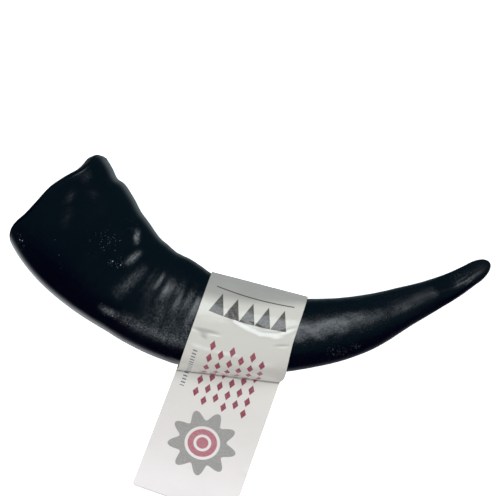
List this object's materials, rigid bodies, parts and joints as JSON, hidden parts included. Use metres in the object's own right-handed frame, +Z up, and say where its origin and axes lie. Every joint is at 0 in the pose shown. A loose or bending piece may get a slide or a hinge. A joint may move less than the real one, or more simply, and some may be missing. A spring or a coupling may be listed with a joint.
{
  "type": "buffalo horn",
  "caption": "Curved, polished black buffalo horn, sawn off and hollow at the base, with a pale film label strip wrapped round its middle and its ends stuck together as a flag",
  "frame": {"origin": "middle of the footprint, on the surface that the horn lies on", "axes": "+X towards the tip, +Y towards the hollow side of the bend, away from the label's flag, +Z up from the surface"},
  "size_m": [0.2407, 0.1812, 0.0436],
  "materials": {
    "horn": "polished horn, near black, with fine mottling and faint growth ribs",
    "label": "semi-gloss white film with a faded print"
  },
  "bodies": {
    "root": {"horn": "horn", "label": "label"}
  },
  "joints": []
}
